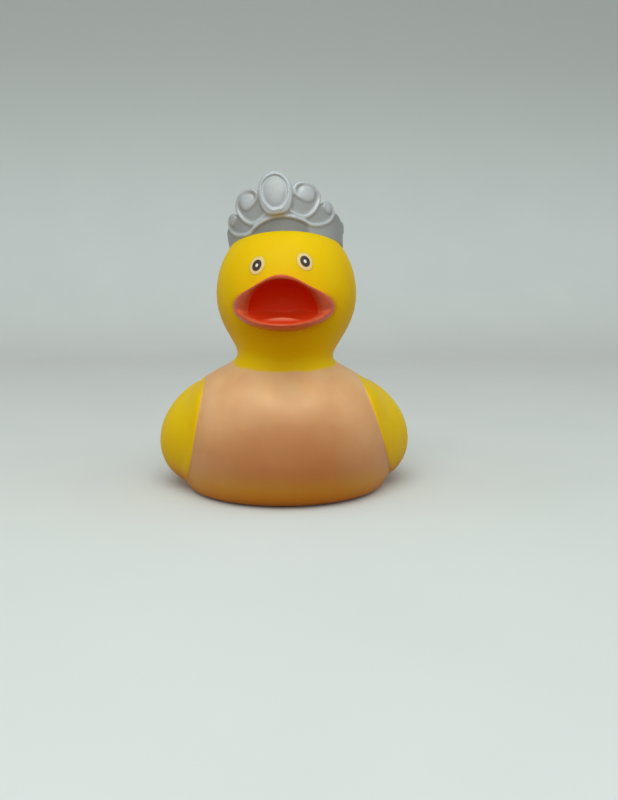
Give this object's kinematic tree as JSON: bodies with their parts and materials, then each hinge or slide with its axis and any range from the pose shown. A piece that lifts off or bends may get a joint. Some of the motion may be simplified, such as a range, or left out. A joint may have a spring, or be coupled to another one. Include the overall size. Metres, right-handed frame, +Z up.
{
  "type": "rubber duck",
  "caption": "Hollow moulded vinyl bath duck with open red beak, side wings, upturned tail and a silver crown, resting on a flat base.",
  "frame": {"origin": "On the surface that the duck stands on, under the middle of its bounding box", "axes": "+Z up, -Y towards the beak, +Y towards the tail, +X towards the duck's own left wing"},
  "size_m": [0.0832, 0.0938, 0.1001],
  "materials": {
    "yellow_vinyl": "soft satin vinyl, coloured right through",
    "body_paint": "sprayed peach paint, satin",
    "beak_paint": "sprayed red paint, semi-gloss",
    "crown_paint": "sprayed silver paint, satin",
    "eye_paint": "printed eye, gloss"
  },
  "bodies": {
    "root": {"duck": "yellow_vinyl"}
  },
  "joints": []
}
